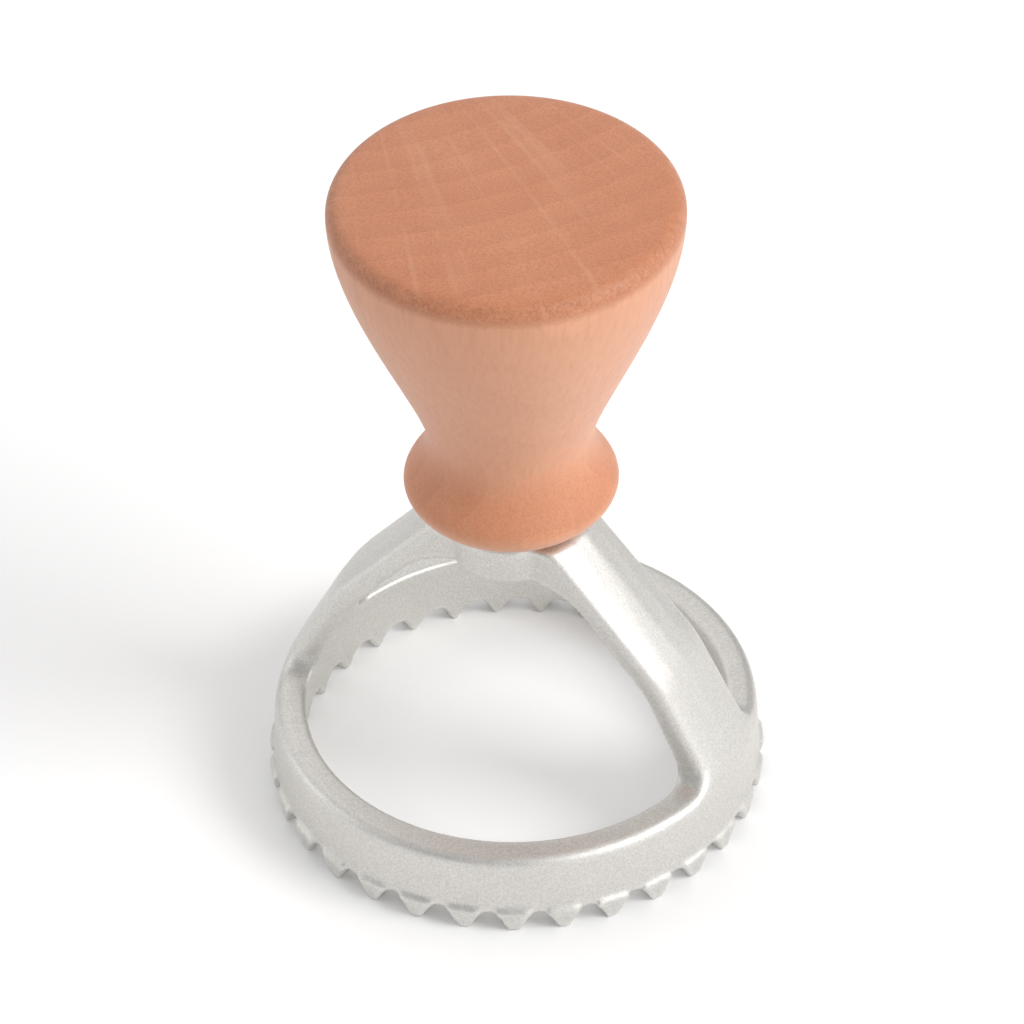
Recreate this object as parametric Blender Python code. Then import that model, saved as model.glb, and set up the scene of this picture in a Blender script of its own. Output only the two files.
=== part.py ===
"""Round ravioli stamp: a turned wooden knob screwed onto a cast head with a toothed cutting ring.

The origin is on the surface that the teeth stand on, under the middle of the ring. +Z runs up the
knob's axis and the two arms of the bridge lie along X.
"""

import math

import bmesh
import bpy
from mathutils import Vector
from mathutils.geometry import interpolate_bezier

MM = 0.001

# Cutting ring
RING_DIAMETER = 60.2 * MM
RING_HEIGHT = 10.9 * MM
RING_WALL = 4.33 * MM
BORE_DRAFT = math.radians(7.3)
WALL_DRAFT = math.radians(3.5)
OUTER_EDGE_ROUND = 1.2 * MM
INNER_EDGE_ROUND = 0.5 * MM

# Cutting teeth
TOOTH_COUNT = 31
FIRST_TOOTH_ANGLE = math.radians(-90.0)
TOOTH_DEPTH = 2.6 * MM
LEDGE_RISE = 0.6 * MM
LEDGE_STANDOUT = 0.6 * MM
LEDGE_SLOPE = 0.2
TIP_STANDOUT = 0.1 * MM
TIP_SHARE_OF_PITCH = 0.25
ROOT_SHARE_OF_PITCH = 0.66
TOOTH_SIDE_ANGLE = math.radians(8.0)
TOOTH_ROOT_ROUND = 0.9 * MM

# Bridge of two arms
BRIDGE_RISE = 29.8 * MM
ARM_THICKNESS = 2.6 * MM
ARM_WIDTH_AT_BOSS = 11.4 * MM
ARM_WIDTH_AT_RING = 12.8 * MM
ARM_EDGE_ROUND = 1.5 * MM
ARM_FOOT_FILLET = 2.8 * MM
ARCH_FOOT_INSET = 3.3 * MM
ARM_TOP_DIAMETER = 18.8 * MM
SHOULDER_INSET = 7.4 * MM
SHOULDER_RISE = 13.3 * MM
SHOULDER_ROUND = 16.0 * MM
FOOT_ROUND = 6.0 * MM
ARM_TOP_ROUND = 2.0 * MM
CROWN_ROUND = 9.0 * MM

# Boss under the knob
BOSS_DIAMETER = 15.2 * MM
BOSS_HEIGHT = 5.0 * MM
BOSS_SEAT_RISE = 0.2 * MM
SCREW_RECESS_DEPTH = 2.4 * MM

# Wooden knob
KNOB_DIAMETER = 41.7 * MM
KNOB_HEIGHT = 47.5 * MM
KNOB_TOP_ROUND = 2.1 * MM
KNOB_CROWN = 0.5 * MM
NECK_DIAMETER = 20.0 * MM
NECK_HEIGHT = 12.7 * MM
COLLAR_DIAMETER = 25.8 * MM
COLLAR_HEIGHT = 5.1 * MM
SEAT_DIAMETER = 16.2 * MM
PILOT_DEPTH = 21.0 * MM

# How far the sweeps of the knob's outline hold their first and last direction, as shares of a sweep
BEAD_LOW_PULL = 0.37
BEAD_TOP_PULL = 0.3
COVE_LOW_PULL = 0.27
COVE_TOP_PULL = 0.6
FLARE_LOW_PULL = 0.15
FLARE_TOP_PULL = 0.31
CROWN_PULL = 0.3

# Screw
SCREW_DIAMETER = 4.0 * MM
SCREW_LENGTH = 22.0 * MM
SCREW_POINT = 4.0 * MM
SCREW_HEAD_DIAMETER = 7.8 * MM
SCREW_HEAD_HEIGHT = 2.1 * MM
DRIVE_SPAN = 4.2 * MM
DRIVE_SLOT = 0.9 * MM
DRIVE_DEPTH = 1.3 * MM

# Clearance that pieces keep from each other, and how far joined shapes run into one another
SEAT_GAP = 0.3 * MM
HEAD_CLEARANCE = 0.4 * MM
LAP = 0.5 * MM
WALL_LAP = 0.1 * MM
MERGE = 0.001 * MM

# Facets of the round pieces
KNOB_FACETS = 52
ARCH_FACETS = 64
SMALL_FACETS = 24
ROUND_STEPS = 4
RING_EDGE_STEPS = 3
BOSS_EDGE_STEPS = 2
BEAD_STEPS = 6
COVE_STEPS = 9
FLARE_STEPS = 11
CROWN_STEPS = 3
SHADING_ANGLE = math.radians(35.0)

# Derived sizes
RING_RADIUS = RING_DIAMETER / 2
BORE_RADIUS = RING_RADIUS - RING_WALL
BORE_SEAM = RING_HEIGHT - INNER_EDGE_ROUND
BRIDGE_FOOT = RING_HEIGHT - 2 * OUTER_EDGE_ROUND
BOSS_RADIUS = BOSS_DIAMETER / 2
BOSS_TOP = RING_HEIGHT + BRIDGE_RISE
BOSS_BOTTOM = BOSS_TOP - BOSS_HEIGHT
KNOB_BASE = BOSS_TOP + SEAT_GAP
RECESS_FLOOR = BOSS_BOTTOM + SCREW_RECESS_DEPTH
SCREW_SEAT = RECESS_FLOOR - SEAT_GAP
SCREW_HOLE_RADIUS = SCREW_DIAMETER / 2 + SEAT_GAP


def clear_scene():
    for obj in list(bpy.data.objects):
        bpy.data.objects.remove(obj, do_unlink=True)


def make_material(name, color, roughness, metallic):
    material = bpy.data.materials.new(name)
    material.use_nodes = True
    shader = material.node_tree.nodes["Principled BSDF"]
    shader.inputs["Base Color"].default_value = (*color, 1.0)
    shader.inputs["Roughness"].default_value = roughness
    shader.inputs["Metallic"].default_value = metallic
    return material


def add_object(name, bm, smooth=True):
    """Turns a bmesh into an object with its faces pointing out."""
    bmesh.ops.remove_doubles(bm, verts=bm.verts, dist=MERGE)
    bmesh.ops.recalc_face_normals(bm, faces=bm.faces)
    mesh = bpy.data.meshes.new(name)
    bm.to_mesh(mesh)
    bm.free()
    if smooth:
        mesh.shade_smooth()
        mesh.set_sharp_from_angle(angle=SHADING_ANGLE)
    obj = bpy.data.objects.new(name, mesh)
    bpy.context.collection.objects.link(obj)
    return obj


def combine(target, tool, operation):
    """Joins or cuts the target with a helper that doesn't render."""
    tool.hide_render = True
    tool.display_type = "WIRE"
    modifier = target.modifiers.new(f"{operation.title()} {tool.name}", "BOOLEAN")
    modifier.operation = operation
    modifier.object = tool


def rounded(points, radii, steps=ROUND_STEPS, closed=False):
    """The path through 2-D points with an arc at each corner that has a radius."""
    path = []
    count = len(points)
    for i, (point, radius) in enumerate(zip(points, radii)):
        corner = Vector(point)
        if radius == 0 or (not closed and i in (0, count - 1)):
            path.append(corner)
            continue
        before = (Vector(points[i - 1]) - corner).normalized()
        after = (Vector(points[(i + 1) % count]) - corner).normalized()
        half = before.angle(after) / 2
        centre = corner + (before + after).normalized() * radius / math.sin(half)
        start = corner + before * radius / math.tan(half) - centre
        sweep = math.pi - 2 * half
        turn = math.copysign(sweep, before.cross(after) * -1)
        for step in range(steps + 1):
            angle = turn * step / steps
            cos_a, sin_a = math.cos(angle), math.sin(angle)
            path.append(centre + Vector((
                start.x * cos_a - start.y * sin_a,
                start.x * sin_a + start.y * cos_a,
            )))
    return path


def turned(name, outline, facets):
    """Spins an outline of (radius, height) points about Z."""
    bm = bmesh.new()
    verts = [bm.verts.new((r, 0.0, z)) for r, z in outline]
    edges = [bm.edges.new(pair) for pair in zip(verts, verts[1:])]
    bmesh.ops.spin(
        bm, geom=verts + edges, cent=(0, 0, 0), axis=(0, 0, 1),
        angle=2 * math.pi, steps=facets, use_merge=True,
    )
    return add_object(name, bm)


def lofted(bm, loops):
    """Skins closed loops of equal length and caps both ends."""
    rings = [[bm.verts.new(point) for point in loop] for loop in loops]
    for lower, upper in zip(rings, rings[1:]):
        for i in range(len(lower)):
            j = (i + 1) % len(lower)
            bm.faces.new((lower[i], lower[j], upper[j], upper[i]))
    bm.faces.new(reversed(rings[0]))
    bm.faces.new(rings[-1])


def bore_radius_at(z):
    """The bore opens towards the teeth by its draft."""
    return BORE_RADIUS + (BORE_SEAM - z) * math.tan(BORE_DRAFT)


def wall_radius_at(z):
    return RING_RADIUS - (z - TOOTH_DEPTH) * math.tan(WALL_DRAFT)


def arm_outer_path():
    """The arm's top in a plane through the axis, from inside the ring's wall up to the boss."""
    return [
        (wall_radius_at(BRIDGE_FOOT) - WALL_LAP, BRIDGE_FOOT),
        (wall_radius_at(RING_HEIGHT) - WALL_LAP, RING_HEIGHT),
        (RING_RADIUS - SHOULDER_INSET, RING_HEIGHT + SHOULDER_RISE),
        (ARM_TOP_DIAMETER / 2, BOSS_TOP - BOSS_SEAT_RISE),
        (BOSS_RADIUS - LAP, BOSS_TOP - BOSS_SEAT_RISE + WALL_LAP),
    ]


def arm_inner_path():
    """The arch under the arm, from inside the ring's wall up to the boss's flat underside."""
    _, foot, shoulder, top, _ = [Vector(point) for point in arm_outer_path()]
    lower = (shoulder - foot).normalized()
    upper = (top - shoulder).normalized()
    inward = Vector((-lower.y - upper.y, lower.x + upper.x)).normalized()
    spring = shoulder + inward * ARM_THICKNESS / math.cos(lower.angle(upper) / 2)
    crown = spring + upper * (BOSS_BOTTOM - spring.y) / upper.y
    return [(RING_RADIUS - ARCH_FOOT_INSET, BRIDGE_FOOT - LAP), spring, crown]


def arm_half_width(reach):
    share = (reach - BOSS_RADIUS) / (RING_RADIUS - BOSS_RADIUS)
    return (ARM_WIDTH_AT_BOSS + (ARM_WIDTH_AT_RING - ARM_WIDTH_AT_BOSS) * share) / 2


def foot_flare(z):
    """The fillet where an arm's sides run out onto the ring's top face."""
    below_top = ARM_FOOT_FILLET + RING_HEIGHT - z
    below_top = min(max(below_top, 0.0), ARM_FOOT_FILLET)
    return ARM_FOOT_FILLET - math.sqrt(ARM_FOOT_FILLET**2 - below_top**2)


def strap_loop(radius, z):
    """Both arms at one height: straight sides that spread outwards, ends on a circle, soft corners."""
    flare = foot_flare(z)
    reach = math.sqrt(radius**2 - (arm_half_width(radius) + flare) ** 2)
    half_width = arm_half_width(reach) + flare
    swing = math.atan2(half_width, reach)
    end = [
        (radius * math.cos(swing * share), radius * math.sin(swing * share))
        for share in (-1.0, -0.5, 0.0, 0.5, 1.0)
    ]
    far_end = [(-x, -y) for x, y in end]
    middle = arm_half_width(0.0)
    corners = [*end, (0.0, middle), *far_end, (0.0, -middle)]
    end_rounds = [ARM_EDGE_ROUND, 0, 0, 0, ARM_EDGE_ROUND]
    outline = rounded(corners, [*end_rounds, 0, *end_rounds, 0], closed=True)
    return [(p.x, p.y, z) for p in outline]


def make_bridge():
    """The strap that carries the boss, lofted level by level before its arch is cut."""
    path = rounded(arm_outer_path(), [0, FOOT_ROUND, SHOULDER_ROUND, ARM_TOP_ROUND, 0])
    shares = (-0.06, 0.12, 0.35, 0.65, 1.0)
    fillet_heights = [RING_HEIGHT + ARM_FOOT_FILLET * share for share in shares]
    levels = [tuple(path[0])]
    for lower, upper in zip(path, path[1:]):
        for z in fillet_heights:
            if lower.y < z < upper.y:
                level = lower.lerp(upper, (z - lower.y) / (upper.y - lower.y))
                levels.append(tuple(level))
        levels.append(tuple(upper))
    bm = bmesh.new()
    lofted(bm, [strap_loop(radius, z) for radius, z in levels])
    return add_object("bridge", bm)


def ring_section(bottom, standout):
    """(radius, height) points of the ring's section, from the bore's foot over to the wall's foot."""
    ledge = TOOTH_DEPTH + LEDGE_RISE
    step = ledge - LEDGE_SLOPE * LEDGE_STANDOUT
    wall_top = wall_radius_at(RING_HEIGHT)
    top = rounded(
        [
            (BORE_RADIUS, BORE_SEAM - INNER_EDGE_ROUND),
            (BORE_RADIUS, RING_HEIGHT),
            (wall_top, RING_HEIGHT),
            (wall_radius_at(ledge), ledge),
        ],
        [0, INNER_EDGE_ROUND, OUTER_EDGE_ROUND, 0],
        steps=RING_EDGE_STEPS,
    )[1:]
    tip_radius = wall_radius_at(0.0) + TIP_STANDOUT
    drop = (step - bottom) / step
    step_radius = wall_radius_at(step) + LEDGE_STANDOUT
    proud_foot = step_radius + (tip_radius - step_radius) * drop
    foot = proud_foot if standout else wall_radius_at(bottom)
    return [
        (bore_radius_at(bottom), bottom),
        *top,
        (step_radius if standout else wall_radius_at(step), step),
        (foot, bottom),
    ]


def tooth_stations():
    """(half width, foot height, proud of the wall) from a tooth's tip to the roof of the notch."""
    pitch = 2 * math.pi * (RING_RADIUS + TIP_STANDOUT) / TOOTH_COUNT
    tip = pitch * TIP_SHARE_OF_PITCH / 2
    root = pitch * ROOT_SHARE_OF_PITCH / 2
    return [
        (tip, 0.0, True),
        (root - TOOTH_ROOT_ROUND / 2, TOOTH_DEPTH - TOOTH_ROOT_ROUND, True),
        (root, TOOTH_DEPTH - TOOTH_ROOT_ROUND / 3, True),
        (root + TOOTH_ROOT_ROUND / 4, TOOTH_DEPTH, False),
    ]


def make_ring():
    """The ring with its teeth, skinned from section to section once round."""
    half = tooth_stations()
    stations = [(-width, foot, proud) for width, foot, proud in reversed(half)] + half
    bm = bmesh.new()
    sections = []
    for index in range(TOOTH_COUNT):
        middle = FIRST_TOOTH_ANGLE + 2 * math.pi * index / TOOTH_COUNT
        for width, foot, proud in stations:
            outline = ring_section(foot, proud)
            outer_angle = middle + width / RING_RADIUS
            taper = (RING_RADIUS - outline[0][0]) * math.tan(TOOTH_SIDE_ANGLE)
            inner_width = width - math.copysign(taper, width)
            inner_angle = middle + inner_width / outline[0][0]
            angles = [inner_angle, *[outer_angle] * (len(outline) - 1)]
            sections.append([
                bm.verts.new((r * math.cos(angle), r * math.sin(angle), z))
                for (r, z), angle in zip(outline, angles)
            ])
    for here, following in zip(sections, sections[1:] + sections[:1]):
        for i in range(len(here)):
            j = (i + 1) % len(here)
            bm.faces.new((here[i], here[j], following[j], following[i]))
    return add_object("cutter_head", bm)


def make_boss():
    """The round boss that the knob sits on."""
    outline = rounded(
        [
            (0.0, BOSS_BOTTOM - LAP),
            (BOSS_RADIUS, BOSS_BOTTOM - LAP),
            (BOSS_RADIUS, BOSS_TOP),
            (0.0, BOSS_TOP),
        ],
        [0, 0, LAP, 0],
        steps=BOSS_EDGE_STEPS,
    )
    return turned("boss", outline, 2 * SMALL_FACETS)


def make_core():
    """The space under the arch, turned, so that both arms and the boss have one inner surface."""
    foot, spring, crown = arm_inner_path()
    outline = rounded(
        [(0.0, foot[1] - LAP), (foot[0], foot[1] - LAP), foot, spring, crown, (0.0, BOSS_BOTTOM)],
        [0, 0, 0, SHOULDER_ROUND, CROWN_ROUND, 0],
    )
    return turned("core", outline, ARCH_FACETS)


def make_screw_passage():
    """The clearance hole through the boss and the round recess that holds the screw's head."""
    recess = SCREW_HEAD_DIAMETER / 2 + HEAD_CLEARANCE
    outline = [
        (0.0, BOSS_BOTTOM - LAP),
        (recess, BOSS_BOTTOM - LAP),
        (recess, RECESS_FLOOR),
        (SCREW_HOLE_RADIUS, RECESS_FLOOR),
        (SCREW_HOLE_RADIUS, BOSS_TOP + LAP),
        (0.0, BOSS_TOP + LAP),
    ]
    return turned("screw_passage", outline, SMALL_FACETS)


def make_cutter_head():
    """One casting: toothed ring, bridge and boss."""
    bridge = make_bridge()
    combine(bridge, make_boss(), "UNION")
    combine(bridge, make_core(), "DIFFERENCE")
    combine(bridge, make_screw_passage(), "DIFFERENCE")
    head = make_ring()
    combine(head, bridge, "UNION")
    head.data.materials.append(make_material("cast_aluminium", (0.62, 0.61, 0.59), 0.42, 1.0))
    return head


def curve(start, start_pull, end_pull, end, steps):
    """Points of one sweep of the turning, without its first."""
    points = interpolate_bezier(
        Vector((*start, 0)), Vector((*start_pull, 0)), Vector((*end_pull, 0)), Vector((*end, 0)),
        steps + 1,
    )
    return [(p.x, p.y) for p in points[1:]]


def knob_outline():
    """The turned outline, from the end of the pilot hole down, out and up to the crown."""
    seat_radius = SEAT_DIAMETER / 2
    collar_radius = COLLAR_DIAMETER / 2
    neck_radius = NECK_DIAMETER / 2
    knob_radius = KNOB_DIAMETER / 2
    base = KNOB_BASE
    edge = base + KNOB_HEIGHT - KNOB_CROWN - KNOB_TOP_ROUND
    top = base + KNOB_HEIGHT
    flare = edge - base - NECK_HEIGHT
    cove = NECK_HEIGHT - COLLAR_HEIGHT
    bead = (seat_radius, base)
    widest = (collar_radius, base + COLLAR_HEIGHT)
    neck = (neck_radius, base + NECK_HEIGHT)
    rim = (knob_radius, edge)
    outline = [
        (0.0, base + PILOT_DEPTH + SCREW_HOLE_RADIUS / 2),
        (SCREW_HOLE_RADIUS, base + PILOT_DEPTH),
        (SCREW_HOLE_RADIUS, base),
        bead,
    ]
    bulge = collar_radius - seat_radius
    outline += curve(
        bead,
        (seat_radius + BEAD_LOW_PULL * bulge, base + BEAD_LOW_PULL * COLLAR_HEIGHT),
        (collar_radius, widest[1] - BEAD_TOP_PULL * COLLAR_HEIGHT),
        widest,
        BEAD_STEPS,
    )
    outline += curve(
        widest,
        (collar_radius, widest[1] + COVE_LOW_PULL * cove),
        (neck_radius, neck[1] - COVE_TOP_PULL * cove),
        neck,
        COVE_STEPS,
    )
    outline += curve(
        neck,
        (neck_radius, neck[1] + FLARE_LOW_PULL * flare),
        (knob_radius, edge - FLARE_TOP_PULL * flare),
        rim,
        FLARE_STEPS,
    )
    shoulder = (knob_radius - KNOB_TOP_ROUND, top - KNOB_CROWN)
    outline += [
        (
            shoulder[0] + KNOB_TOP_ROUND * math.cos(turn),
            edge + KNOB_TOP_ROUND * math.sin(turn),
        )
        for turn in (math.radians(90.0) * step / ROUND_STEPS for step in range(1, ROUND_STEPS + 1))
    ]
    outline += curve(
        shoulder,
        (shoulder[0] * (1 - CROWN_PULL), top),
        (shoulder[0] * CROWN_PULL, top),
        (0.0, top),
        CROWN_STEPS,
    )
    return outline


def make_handle():
    """The wooden knob, turned in one piece with a pilot hole for its screw."""
    handle = turned("handle", knob_outline(), KNOB_FACETS)
    handle.data.materials.append(make_material("turned_beech", (0.68, 0.40, 0.25), 0.55, 0.0))
    return handle


def make_screw():
    """Pan-head wood screw that holds the knob from below. Its fine thread isn't modelled here."""
    head_radius = SCREW_HEAD_DIAMETER / 2
    shank = SCREW_DIAMETER / 2
    head_base = SCREW_SEAT - SCREW_HEAD_HEIGHT
    tip = SCREW_SEAT + SCREW_LENGTH
    outline = rounded(
        [
            (0.0, head_base),
            (head_radius, head_base),
            (head_radius, SCREW_SEAT),
            (shank, SCREW_SEAT),
            (shank, tip - SCREW_POINT),
            (0.0, tip),
        ],
        [0, SCREW_HEAD_HEIGHT * 0.6, 0, 0, 0, 0],
        steps=4,
    )
    screw = turned("handle_screw", outline, SMALL_FACETS)
    bm = bmesh.new()
    loops = []
    for z, share in ((head_base - LAP, 1.0), (head_base + DRIVE_DEPTH, 0.6)):
        far, near = share * DRIVE_SPAN / 2, share * DRIVE_SLOT / 2
        quarter = [(far, -near), (far, near), (near, near)]
        cross = quarter + [(-y, x) for x, y in quarter]
        cross += [(-x, -y) for x, y in cross]
        loops.append([(x, y, z) for x, y in cross])
    lofted(bm, loops)
    combine(screw, add_object("drive_recess", bm, smooth=False), "DIFFERENCE")
    screw.data.materials.append(make_material("zinc_plated_steel", (0.66, 0.67, 0.68), 0.3, 1.0))
    return screw


clear_scene()
make_cutter_head()
make_handle()
make_screw()
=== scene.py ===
"""Looks, light and camera for the round ravioli stamp: casting, beech knob and plated screw."""

import math

import bpy
from mathutils import Matrix, Vector


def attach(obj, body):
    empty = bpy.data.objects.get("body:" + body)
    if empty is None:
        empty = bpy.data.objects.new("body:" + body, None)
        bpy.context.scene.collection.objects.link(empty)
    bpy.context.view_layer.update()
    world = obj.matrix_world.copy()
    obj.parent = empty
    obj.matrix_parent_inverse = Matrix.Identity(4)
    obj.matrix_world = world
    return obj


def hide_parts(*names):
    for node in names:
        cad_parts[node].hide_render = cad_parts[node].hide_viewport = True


MM = 0.001

WELD = 0.002 * MM
CASTING_GRID = 0.33 * MM
STAMP_MIDDLE = 45.0 * MM
KNOB_MIDDLE = 65.0 * MM
RIM_BORDER = 85.9 * MM
FROM_PITH = (39.3 * MM, -38.2 * MM, 0.0)
GROWTH_RING = 4.2 * MM
FLOOR_GLOW = 0.21
SKY = 0.37
AO_SAMPLES = 6

# A Mix node names its sockets alike for every type, so they go by number.
FLOAT_A, FLOAT_B, FLOAT_OUT = 2, 3, 0
COLOUR_A, COLOUR_B, COLOUR_OUT = 6, 7, 2

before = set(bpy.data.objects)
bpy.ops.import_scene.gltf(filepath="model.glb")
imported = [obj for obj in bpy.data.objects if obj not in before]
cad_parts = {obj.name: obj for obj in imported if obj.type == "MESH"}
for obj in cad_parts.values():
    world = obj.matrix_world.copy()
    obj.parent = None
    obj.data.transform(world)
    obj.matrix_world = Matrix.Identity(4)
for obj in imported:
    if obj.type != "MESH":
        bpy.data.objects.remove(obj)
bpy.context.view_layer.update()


def deselect():
    bpy.ops.object.select_all(action="DESELECT")


def select_only(obj):
    deselect()
    obj.select_set(True)
    bpy.context.view_layer.objects.active = obj


def apply_modifiers(obj):
    select_only(obj)
    for modifier in list(obj.modifiers):
        bpy.ops.object.modifier_apply(modifier=modifier.name)


def merged_copy(node, name):
    """A copy of a CAD node as one welded mesh."""
    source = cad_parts[node]
    piece = bpy.data.objects.new(name, source.data.copy())
    bpy.context.scene.collection.objects.link(piece)
    select_only(piece)
    bpy.ops.object.mode_set(mode="EDIT")
    bpy.ops.mesh.select_all(action="SELECT")
    bpy.ops.mesh.remove_doubles(threshold=WELD)
    bpy.ops.mesh.customdata_custom_splitnormals_clear()
    bpy.ops.object.mode_set(mode="OBJECT")
    return piece


def linear(code):
    """A colour written as sRGB hex, as linear RGBA."""
    channels = [int(code[i:i + 2], 16) / 255 for i in (1, 3, 5)]
    return (*[c / 12.92 if c <= 0.04045 else ((c + 0.055) / 1.055) ** 2.4 for c in channels], 1.0)


def start_material(name):
    """A new material and its Principled shader."""
    material = bpy.data.materials.new(name)
    material.use_nodes = True
    return material, material.node_tree.nodes["Principled BSDF"]


def add(tree, kind, settings=None, values=None, links=None):
    """A node with its settings, socket values and incoming links."""
    node = tree.nodes.new(kind)
    for key, value in (settings or {}).items():
        setattr(node, key, value)
    for key, value in (values or {}).items():
        node.inputs[key].default_value = value
    for key, socket in (links or {}).items():
        tree.links.new(socket, node.inputs[key])
    return node


def scale_for(size):
    """The Scale at which a noise shows blobs of the given size in metres."""
    blobs_per_scale = 0.5
    return blobs_per_scale / size


def tumbled_aluminium():
    """Cast aluminium alloy, tumbled with stones: a pale warm grey, matt, with a fine bright grain, a
    painted highlight on its outer edges and painted shade in its corners.
    """
    grain_share, painted_highlight_share, dent_depth = 0.3, 0.45, 0.35
    material, shader = start_material("Tumbled cast aluminium")
    tree = material.node_tree
    where = add(tree, "ShaderNodeTexCoord").outputs["Object"]

    # The stones leave pits of about 0.12 mm, dents of 0.3 mm and soft patches of 4 mm.
    pits = add(
        tree, "ShaderNodeTexNoise",
        values={"Scale": scale_for(0.12 * MM), "Detail": 1.0, "Roughness": 0.6},
        links={"Vector": where},
    ).outputs["Fac"]
    dents = add(
        tree, "ShaderNodeTexNoise",
        values={"Scale": scale_for(0.3 * MM), "Detail": 2.0, "Roughness": 0.6},
        links={"Vector": where},
    ).outputs["Fac"]
    patches = add(
        tree, "ShaderNodeTexNoise",
        values={"Scale": scale_for(4.0 * MM), "Detail": 3.0, "Roughness": 0.55},
        links={"Vector": where},
    ).outputs["Fac"]
    # They hit the outer edges hardest, which end up more broken. The edges are also painted paler,
    # partly the polish of the stones and partly a painted highlight where the rounded edge catches the
    # light.
    edge = add(
        tree, "ShaderNodeAmbientOcclusion", {"samples": AO_SAMPLES, "inside": True, "only_local": True},
        {"Distance": 1.1 * MM},
    ).outputs["AO"]
    rubbed_and_highlit_edge = add(
        tree, "ShaderNodeMapRange",
        values={"From Min": 0.97, "From Max": 0.72}, links={"Value": edge},
    ).outputs["Result"]
    # The corners are painted a darker grey, as painted shade where less light reaches.
    corner = add(
        tree, "ShaderNodeAmbientOcclusion", {"samples": AO_SAMPLES, "only_local": True},
        {"Distance": 3.0 * MM},
    ).outputs["AO"]
    painted_corner_shade = add(
        tree, "ShaderNodeMapRange",
        values={"From Min": 0.92, "From Max": 0.4, "To Max": 0.75}, links={"Value": corner},
    ).outputs["Result"]

    tone = add(
        tree, "ShaderNodeMix", {"data_type": "RGBA"},
        {COLOUR_A: linear("#D7D5D1"), COLOUR_B: linear("#E1DFDB")}, {"Factor": patches},
    ).outputs[COLOUR_OUT]
    speck = add(
        tree, "ShaderNodeMapRange",
        values={"From Min": 0.35, "From Max": 0.65}, links={"Value": pits},
    ).outputs["Result"]
    grain = add(
        tree, "ShaderNodeMix", {"data_type": "RGBA"},
        {COLOUR_A: linear("#B4B1AC"), COLOUR_B: linear("#ECEAE6")}, {"Factor": speck},
    ).outputs[COLOUR_OUT]
    tone = add(
        tree, "ShaderNodeMix", {"data_type": "RGBA"},
        {"Factor": grain_share}, {COLOUR_A: tone, COLOUR_B: grain},
    ).outputs[COLOUR_OUT]
    # Painted highlight: the outer edges are mixed toward a pale #F2F0EC.
    painted_edge_highlight = add(
        tree, "ShaderNodeMath", {"operation": "MULTIPLY"}, {1: painted_highlight_share}, {0: rubbed_and_highlit_edge},
    ).outputs[0]
    tone = add(
        tree, "ShaderNodeMix", {"data_type": "RGBA"},
        {COLOUR_B: linear("#F2F0EC")}, {"Factor": painted_edge_highlight, COLOUR_A: tone},
    ).outputs[COLOUR_OUT]
    # Painted shade: the corners are mixed toward dark grey #8C8A87.
    tone = add(
        tree, "ShaderNodeMix", {"data_type": "RGBA"},
        {COLOUR_B: linear("#8C8A87")}, {"Factor": painted_corner_shade, COLOUR_A: tone},
    ).outputs[COLOUR_OUT]
    tree.links.new(tone, shader.inputs["Base Color"])

    rough = add(
        tree, "ShaderNodeMapRange",
        values={"From Min": 0.3, "From Max": 0.7, "To Min": 0.46, "To Max": 0.58},
        links={"Value": dents},
    ).outputs["Result"]
    tree.links.new(rough, shader.inputs["Roughness"])
    shader.inputs["Metallic"].default_value = 0.95

    height = add(
        tree, "ShaderNodeMath", {"operation": "MULTIPLY_ADD"}, {1: dent_depth}, {0: dents, 2: pits},
    ).outputs[0]
    push = add(
        tree, "ShaderNodeMapRange",
        values={"To Min": 0.3}, links={"Value": rubbed_and_highlit_edge},
    ).outputs["Result"]
    bump = add(
        tree, "ShaderNodeBump",
        values={"Distance": 0.05 * MM}, links={"Height": height, "Strength": push},
    )
    tree.links.new(bump.outputs["Normal"], shader.inputs["Normal"])
    return material


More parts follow.
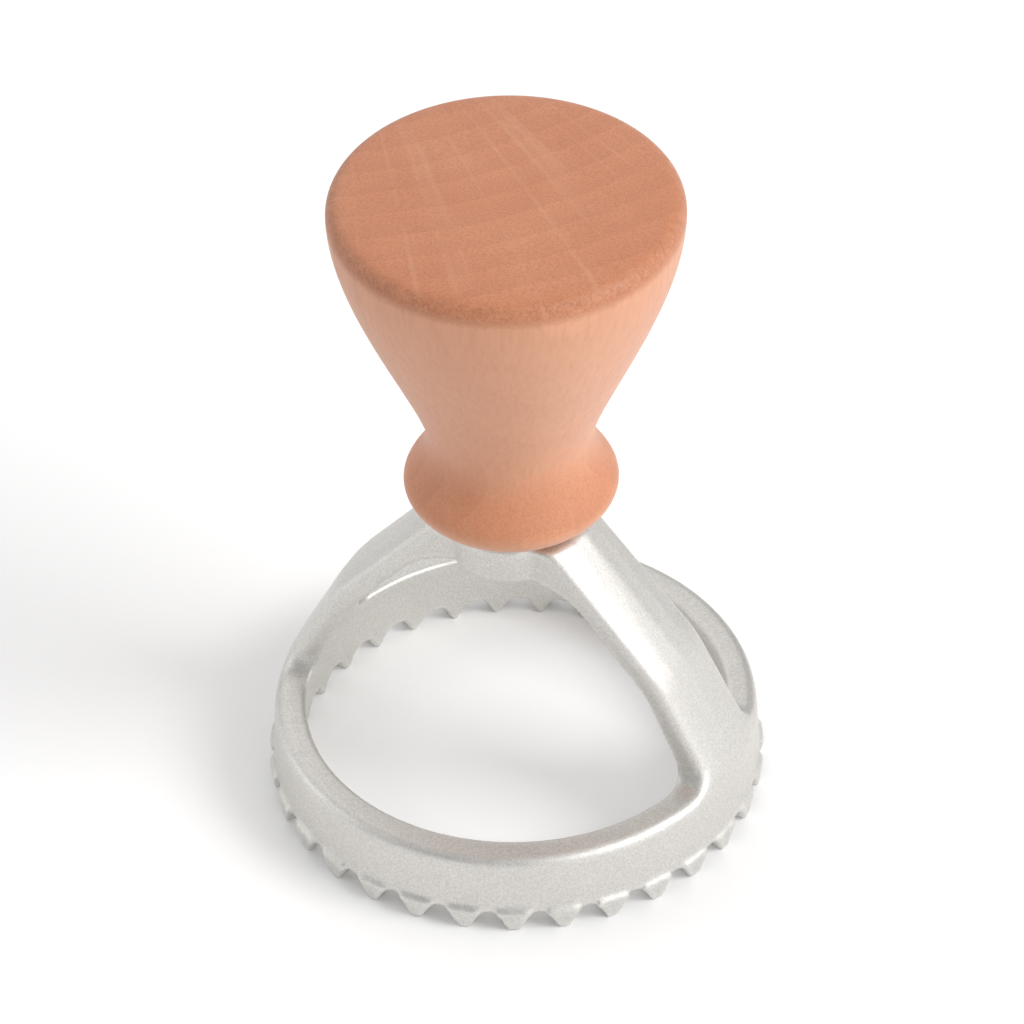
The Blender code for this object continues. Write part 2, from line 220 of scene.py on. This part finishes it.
def turned_beech():
    """Steamed beech, turned and sanded, unvarnished: pinkish tan sides, deeper and browner end grain."""
    late_on_side, late_on_top, tear = 0.2, 0.22, 2.0 * MM
    material, shader = start_material("Turned steamed beech")
    tree = material.node_tree
    # The grain runs along the knob. The tree's middle lies 55 mm off, behind it to the left.
    where = add(
        tree, "ShaderNodeMapping", values={"Location": FROM_PITH},
        links={"Vector": add(tree, "ShaderNodeTexCoord").outputs["Object"]},
    ).outputs["Vector"]
    # Wood cells are long and thin, so marks on the sides are drawn 25 times as long as they are wide.
    fibre = add(
        tree, "ShaderNodeMapping", values={"Scale": (1.0, 1.0, 0.04)}, links={"Vector": where},
    ).outputs["Vector"]
    clouds = add(
        tree, "ShaderNodeTexNoise",
        values={"Scale": scale_for(7.0 * MM), "Detail": 2.0}, links={"Vector": fibre},
    ).outputs["Fac"]
    fibres = add(
        tree, "ShaderNodeTexNoise",
        values={"Scale": scale_for(0.3 * MM), "Detail": 3.0, "Roughness": 0.6},
        links={"Vector": fibre},
    ).outputs["Fac"]
    # Beech pores are 0.08 mm wide and don't show at this size, so they are drawn at 0.14 mm.
    pores = add(
        tree, "ShaderNodeTexNoise",
        values={"Scale": scale_for(0.14 * MM), "Detail": 1.0}, links={"Vector": where},
    ).outputs["Fac"]
    patches = add(
        tree, "ShaderNodeTexNoise",
        values={"Scale": scale_for(5.0 * MM), "Detail": 3.0, "Distortion": 0.6},
        links={"Vector": where},
    ).outputs["Fac"]
    fuzz = add(
        tree, "ShaderNodeTexNoise",
        values={"Scale": scale_for(0.35 * MM), "Detail": 2.0, "Roughness": 0.7, "Distortion": 1.2},
        links={"Vector": where},
    ).outputs["Fac"]
    # Growth rings are bent by slow noise. At Scale 1 the wave repeats every 0.314 m.
    wave_at_one = 0.314
    rings = add(
        tree, "ShaderNodeTexWave",
        {"wave_type": "RINGS", "rings_direction": "Z", "wave_profile": "SAW"},
        {"Scale": wave_at_one / GROWTH_RING, "Distortion": 1.6, "Detail": 2.0, "Detail Scale": 0.6},
        {"Vector": fibre},
    ).outputs["Fac"]
    # Rays run straight out from the tree's middle as thin pale lines, some millimetres apart.
    parts = add(tree, "ShaderNodeSeparateXYZ", links={"Vector": where}).outputs
    bearing = add(
        tree, "ShaderNodeMath", {"operation": "ARCTAN2"}, links={0: parts["Y"], 1: parts["X"]},
    ).outputs[0]
    wander = add(
        tree, "ShaderNodeTexNoise", {"noise_dimensions": "1D"},
        {"Scale": 11.0, "Detail": 0.0}, {"W": bearing},
    ).outputs["Fac"]
    offset = add(tree, "ShaderNodeMath", {"operation": "SUBTRACT"}, {1: 0.5}, {0: wander}).outputs[0]
    offset = add(tree, "ShaderNodeMath", {"operation": "ABSOLUTE"}, links={0: offset}).outputs[0]
    line = add(
        tree, "ShaderNodeMapRange",
        values={"From Max": 0.02, "To Min": 1.0, "To Max": 0.0},
        links={"Value": offset},
    ).outputs["Result"]
    broken = add(
        tree, "ShaderNodeMapRange",
        values={"From Min": 0.42, "From Max": 0.62, "To Max": 0.28},
        links={"Value": clouds},
    ).outputs["Result"]
    rays = add(
        tree, "ShaderNodeMath", {"operation": "MULTIPLY"}, links={0: line, 1: broken},
    ).outputs[0]

    # End grain shows on the crown and down to about 3 mm below it, with a border torn by the
    # fibres. On the bead it comes up slowly, as the surface turns upward.
    facing = add(tree, "ShaderNodeNewGeometry").outputs["Normal"]
    rise = add(tree, "ShaderNodeSeparateXYZ", links={"Vector": facing}).outputs["Z"]
    torn_height = add(
        tree, "ShaderNodeMath", {"operation": "MULTIPLY_ADD"}, {1: tear},
        {0: fuzz, 2: parts["Z"]},
    ).outputs[0]
    on_rim = add(
        tree, "ShaderNodeMapRange",
        values={"From Min": RIM_BORDER, "From Max": RIM_BORDER + 1.2 * MM},
        links={"Value": torn_height},
    ).outputs["Result"]
    on_bead = add(
        tree, "ShaderNodeMapRange", {"interpolation_type": "SMOOTHSTEP"},
        {"From Min": -0.5, "From Max": 0.6, "To Max": 0.75}, {"Value": rise},
    ).outputs["Result"]
    upper_half = add(
        tree, "ShaderNodeMath", {"operation": "GREATER_THAN"}, {1: KNOB_MIDDLE},
        {0: parts["Z"]},
    ).outputs[0]
    end_grain = add(
        tree, "ShaderNodeMix", {"data_type": "FLOAT"},
        links={"Factor": upper_half, FLOAT_A: on_bead, FLOAT_B: on_rim},
    ).outputs[FLOAT_OUT]

    side = add(
        tree, "ShaderNodeMix", {"data_type": "RGBA"},
        {COLOUR_A: linear("#DE9C7A"), COLOUR_B: linear("#E6AB89")}, {"Factor": clouds},
    ).outputs[COLOUR_OUT]
    late = add(
        tree, "ShaderNodeMath", {"operation": "MULTIPLY"}, {1: late_on_side}, {0: rings},
    ).outputs[0]
    side = add(
        tree, "ShaderNodeMix", {"data_type": "RGBA"},
        {COLOUR_B: linear("#D29474")}, {"Factor": late, COLOUR_A: side},
    ).outputs[COLOUR_OUT]
    fleck = add(
        tree, "ShaderNodeMapRange",
        values={"From Min": 0.42, "From Max": 0.72, "To Max": 0.3}, links={"Value": fibres},
    ).outputs["Result"]
    side = add(
        tree, "ShaderNodeMix", {"data_type": "RGBA"},
        {COLOUR_B: linear("#C88C6C")}, {"Factor": fleck, COLOUR_A: side},
    ).outputs[COLOUR_OUT]
    speck = add(
        tree, "ShaderNodeMapRange",
        values={"From Min": 0.3, "From Max": 0.7, "To Max": 0.22}, links={"Value": pores},
    ).outputs["Result"]
    side = add(
        tree, "ShaderNodeMix", {"data_type": "RGBA"},
        {COLOUR_B: linear("#CF9676")}, {"Factor": speck, COLOUR_A: side},
    ).outputs[COLOUR_OUT]

    top = add(
        tree, "ShaderNodeMix", {"data_type": "RGBA"},
        {COLOUR_A: linear("#C67B56"), COLOUR_B: linear("#DB966E")}, {"Factor": patches},
    ).outputs[COLOUR_OUT]
    late = add(
        tree, "ShaderNodeMath", {"operation": "MULTIPLY"}, {1: late_on_top}, {0: rings},
    ).outputs[0]
    top = add(
        tree, "ShaderNodeMix", {"data_type": "RGBA"},
        {COLOUR_B: linear("#B06C4C")}, {"Factor": late, COLOUR_A: top},
    ).outputs[COLOUR_OUT]
    pore = add(
        tree, "ShaderNodeMapRange",
        values={"From Min": 0.4, "From Max": 0.7, "To Max": 0.45}, links={"Value": pores},
    ).outputs["Result"]
    top = add(
        tree, "ShaderNodeMix", {"data_type": "RGBA"},
        {COLOUR_B: linear("#A9684A")}, {"Factor": pore, COLOUR_A: top},
    ).outputs[COLOUR_OUT]
    top = add(
        tree, "ShaderNodeMix", {"data_type": "RGBA"},
        {COLOUR_B: linear("#DDA686")}, {"Factor": rays, COLOUR_A: top},
    ).outputs[COLOUR_OUT]
    # The rim is painted darker as it rolls over from the crown. This is partly the lathe's burnish and
    # partly painted shade where the surface turns away from the light. Short pale fibres stand on it.
    rim_burnish_and_shade = add(
        tree, "ShaderNodeMapRange", {"interpolation_type": "SMOOTHSTEP"},
        {"From Min": 0.998, "From Max": 0.75, "To Max": 0.45}, {"Value": rise},
    ).outputs["Result"]
    rim_burnish_and_shade = add(
        tree, "ShaderNodeMath", {"operation": "MULTIPLY"}, links={0: rim_burnish_and_shade, 1: upper_half},
    ).outputs[0]
    hair = add(
        tree, "ShaderNodeMapRange",
        values={"From Min": 0.35, "From Max": 0.65}, links={"Value": fuzz},
    ).outputs["Result"]
    rim_burnish_and_shade_tone = add(
        tree, "ShaderNodeMix", {"data_type": "RGBA"},
        {COLOUR_A: linear("#A66748"), COLOUR_B: linear("#D09473")}, {"Factor": hair},
    ).outputs[COLOUR_OUT]
    # Partly painted shade: the rolled rim is mixed toward the darker burnished tone.
    top = add(
        tree, "ShaderNodeMix", {"data_type": "RGBA"},
        links={"Factor": rim_burnish_and_shade, COLOUR_A: top, COLOUR_B: rim_burnish_and_shade_tone},
    ).outputs[COLOUR_OUT]
    tone = add(
        tree, "ShaderNodeMix", {"data_type": "RGBA"},
        links={"Factor": end_grain, COLOUR_A: side, COLOUR_B: top},
    ).outputs[COLOUR_OUT]
    tree.links.new(tone, shader.inputs["Base Color"])

    rough = add(
        tree, "ShaderNodeMapRange",
        values={"From Min": 0.3, "From Max": 0.7, "To Min": 0.48, "To Max": 0.60},
        links={"Value": fibres},
    ).outputs["Result"]
    tree.links.new(rough, shader.inputs["Roughness"])
    shader.inputs["IOR"].default_value = 1.45
    # Sanding leaves a down of fibre ends, which pales the wood where it is seen at a slant.
    shader.inputs["Sheen Weight"].default_value = 0.2
    shader.inputs["Sheen Roughness"].default_value = 0.5
    height = add(
        tree, "ShaderNodeMix", {"data_type": "FLOAT"},
        links={"Factor": end_grain, FLOAT_A: fibres, FLOAT_B: pores},
    ).outputs[FLOAT_OUT]
    bump = add(
        tree, "ShaderNodeBump",
        values={"Strength": 0.25, "Distance": 0.03 * MM}, links={"Height": height},
    )
    tree.links.new(bump.outputs["Normal"], shader.inputs["Normal"])
    return material


def zinc_plate():
    """Steel wood screw with bright zinc plate: blue-grey, smooth, a little cloudy."""
    material, shader = start_material("Bright zinc plate")
    tree = material.node_tree
    cloud = add(
        tree, "ShaderNodeTexNoise",
        values={"Scale": scale_for(1.5 * MM), "Detail": 2.0},
        links={"Vector": add(tree, "ShaderNodeTexCoord").outputs["Object"]},
    ).outputs["Fac"]
    tone = add(
        tree, "ShaderNodeMix", {"data_type": "RGBA"},
        {COLOUR_A: linear("#B9BDC2"), COLOUR_B: linear("#D2D5D8")}, {"Factor": cloud},
    ).outputs[COLOUR_OUT]
    tree.links.new(tone, shader.inputs["Base Color"])
    rough = add(
        tree, "ShaderNodeMapRange", values={"To Min": 0.2, "To Max": 0.36}, links={"Value": cloud},
    ).outputs["Result"]
    tree.links.new(rough, shader.inputs["Roughness"])
    shader.inputs["Metallic"].default_value = 1.0
    return material


def make_casting():
    """The casting with the soft edges that tumbling leaves, from the CAD shape."""
    casting = merged_copy("cutter_head", "tumbled_casting")
    remesh = casting.modifiers.new("Even skin", "REMESH")
    remesh.mode = "VOXEL"
    remesh.voxel_size = CASTING_GRID
    smooth = casting.modifiers.new("Soft edges", "CORRECTIVE_SMOOTH")
    smooth.factor = 0.5
    smooth.iterations = 4
    smooth.smooth_type = "SIMPLE"
    smooth.use_only_smooth = True
    apply_modifiers(casting)
    casting.data.shade_smooth()
    casting.data.materials.clear()
    casting.data.materials.append(tumbled_aluminium())
    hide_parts("cutter_head")
    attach(casting, "root")


def make_knob():
    """The turned knob, its CAD facets rounded by subdivision."""
    knob = merged_copy("handle", "turned_knob")
    bpy.ops.object.mode_set(mode="EDIT")
    bpy.ops.mesh.select_all(action="SELECT")
    bpy.ops.mesh.tris_convert_to_quads()
    bpy.ops.object.mode_set(mode="OBJECT")
    rounding = knob.modifiers.new("Rounding", "SUBSURF")
    rounding.levels = 2
    apply_modifiers(knob)
    knob.data.shade_smooth()
    knob.data.materials.clear()
    knob.data.materials.append(turned_beech())
    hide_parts("handle")
    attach(knob, "root")


def dress_screw():
    """The screw keeps its CAD shape and gets its zinc plate."""
    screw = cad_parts["handle_screw"]
    screw.data.materials.clear()
    screw.data.materials.append(zinc_plate())


def white_paper():
    """White paper: pale and matt, and plain white to the eye where nothing shades it."""
    material, shader = start_material("White paper")
    tree = material.node_tree
    shader.inputs["Base Color"].default_value = linear("#EFEFEF")
    shader.inputs["Roughness"].default_value = 0.9
    shader.inputs["Specular IOR Level"].default_value = 0.0
    path = add(tree, "ShaderNodeLightPath").outputs
    seen = add(
        tree, "ShaderNodeMath", {"operation": "MAXIMUM"},
        links={0: path["Is Camera Ray"], 1: path["Is Glossy Ray"]},
    ).outputs[0]
    seen = add(
        tree, "ShaderNodeMath", {"operation": "MAXIMUM"},
        links={0: seen, 1: path["Is Transmission Ray"]},
    ).outputs[0]
    # Close under the stamp the paper gets no light to throw back, so its glow fades there.
    open_sky = add(
        tree, "ShaderNodeAmbientOcclusion", {"samples": AO_SAMPLES}, {"Distance": 14.0 * MM},
    ).outputs["AO"]
    lit = add(
        tree, "ShaderNodeMath", {"operation": "MULTIPLY"}, links={0: seen, 1: open_sky},
    ).outputs[0]
    strength = add(
        tree, "ShaderNodeMath", {"operation": "MULTIPLY"}, {1: FLOOR_GLOW}, {0: lit},
    ).outputs[0]
    glow = add(
        tree, "ShaderNodeEmission",
        values={"Color": linear("#FFFFFF")}, links={"Strength": strength},
    ).outputs["Emission"]
    total = add(
        tree, "ShaderNodeAddShader", links={0: shader.outputs["BSDF"], 1: glow},
    ).outputs["Shader"]
    tree.links.new(total, tree.nodes["Material Output"].inputs["Surface"])
    return material


def make_floor():
    """A wide sheet of white paper under the stamp."""
    deselect()
    bpy.ops.mesh.primitive_plane_add(size=6.0, location=(0.0, 0.0, 0.0))
    floor = bpy.context.object
    floor.name = "paper_floor"
    floor.data.materials.append(white_paper())


def make_world():
    """An even white studio, plain white where the camera sees it."""
    world = bpy.data.worlds.new("Studio")
    bpy.context.scene.world = world
    world.use_nodes = True
    tree = world.node_tree
    background = tree.nodes["Background"]
    background.inputs["Color"].default_value = linear("#FFFFFF")
    level = add(
        tree, "ShaderNodeMapRange", values={"To Min": SKY},
        links={"Value": add(tree, "ShaderNodeLightPath").outputs["Is Camera Ray"]},
    ).outputs["Result"]
    tree.links.new(level, background.inputs["Strength"])


def softbox(name, direction, distance, width, height, power):
    """A rectangular area lamp that faces the middle of the stamp, in metres and watts."""
    aim = Vector((0.0, 0.0, STAMP_MIDDLE))
    away = Vector(direction).normalized()
    lamp = bpy.data.lights.new(name, "AREA")
    lamp.shape = "RECTANGLE"
    lamp.size = width
    lamp.size_y = height
    lamp.energy = power
    obj = bpy.data.objects.new(name, lamp)
    bpy.context.scene.collection.objects.link(obj)
    obj.location = aim + away * distance
    obj.rotation_euler = away.to_track_quat("Z", "Y").to_euler()


def make_camera():
    """A long lens in front, to the right, looking down by about 41 degrees."""
    camera = bpy.data.cameras.new("camera")
    camera.sensor_width = 36.0
    camera.lens = 199.9
    camera.clip_start = 0.05
    camera.clip_end = 20.0
    obj = bpy.data.objects.new("camera", camera)
    bpy.context.scene.collection.objects.link(obj)
    # Its place and angles are solved from the photo's ellipses and teeth. The angles are in radians.
    turn, tilt, roll = math.radians(24.6), 0.712, 0.020
    look = Vector((0.0, math.cos(tilt), -math.sin(tilt)))
    right = Vector((1.0, 0.0, 0.0))
    down = look.cross(right)
    across = math.cos(roll) * right + math.sin(roll) * down
    upright = math.sin(roll) * right - math.cos(roll) * down
    axes = Matrix((across, upright, -look)).transposed()
    spin = Matrix.Rotation(turn, 3, "Z")
    place = spin @ Vector((0.0, -515.13 * MM, 484.95 * MM))
    obj.matrix_world = Matrix.Translation(place) @ (spin @ axes).to_4x4()
    bpy.context.scene.camera = obj


make_casting()
make_knob()
dress_screw()
make_floor()
make_world()
make_camera()
softbox("key_right", (0.95, 0.05, 0.8), distance=1.1, width=0.5, height=0.5, power=6.7)
softbox("low_right", (0.95, 0.3, 0.4), distance=1.2, width=0.7, height=0.5, power=1.7)
softbox("front_right", (0.85, -0.5, 0.4), distance=1.4, width=0.9, height=0.9, power=3.6)
softbox("overhead", (-0.5, 0.6, 0.75), distance=1.2, width=1.2, height=1.2, power=3.6)
softbox("fill_left", (-0.9, -0.3, 0.4), distance=1.3, width=1.0, height=1.0, power=3.8)

bpy.context.scene.view_settings.view_transform = "Standard"
